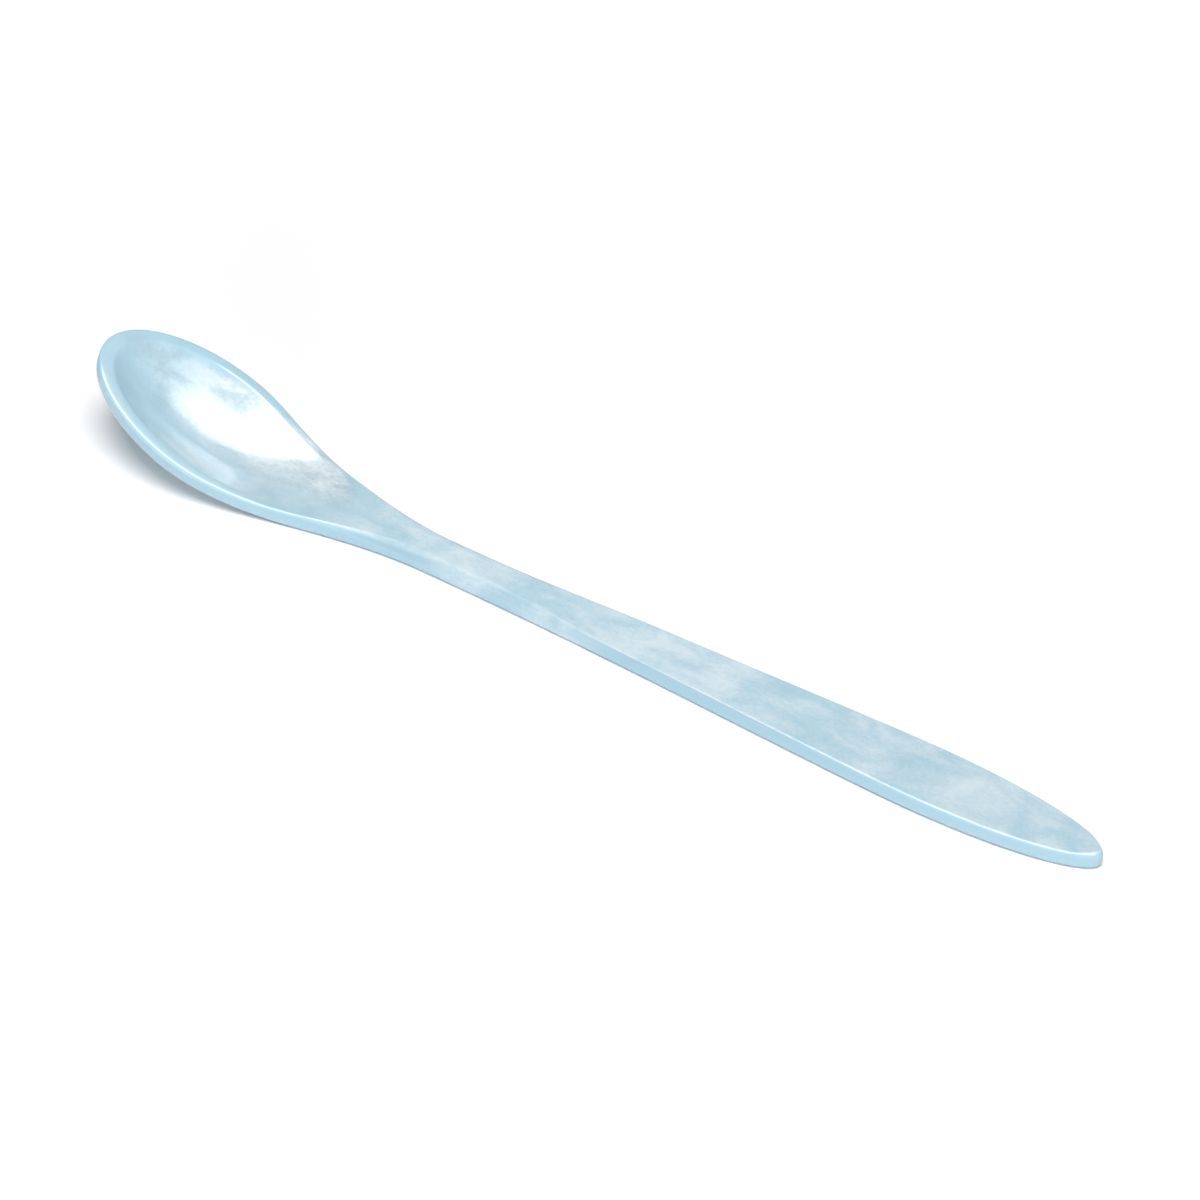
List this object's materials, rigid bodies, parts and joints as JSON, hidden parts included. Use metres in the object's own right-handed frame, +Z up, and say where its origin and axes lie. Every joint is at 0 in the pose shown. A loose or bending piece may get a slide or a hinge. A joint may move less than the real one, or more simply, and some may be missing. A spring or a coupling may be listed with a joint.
{
  "type": "yogurt spoon",
  "caption": "Long-handled plastic yogurt spoon: shallow oval bowl with a flat rim, bent up from a rounded neck and a flat handle that widens to a rounded point.",
  "frame": {"origin": "under the middle of the spoon, on the plane that the handle's flat underside rests on", "axes": "+X along the handle away from the bowl, +Y across the spoon, +Z up out of the open side of the bowl"},
  "size_m": [0.1998, 0.026, 0.0159],
  "materials": {
    "plastic": "glossy pale blue with faint pearly clouds"
  },
  "bodies": {
    "root": {"bowl": "plastic", "neck": "plastic", "handle": "plastic"}
  },
  "joints": []
}
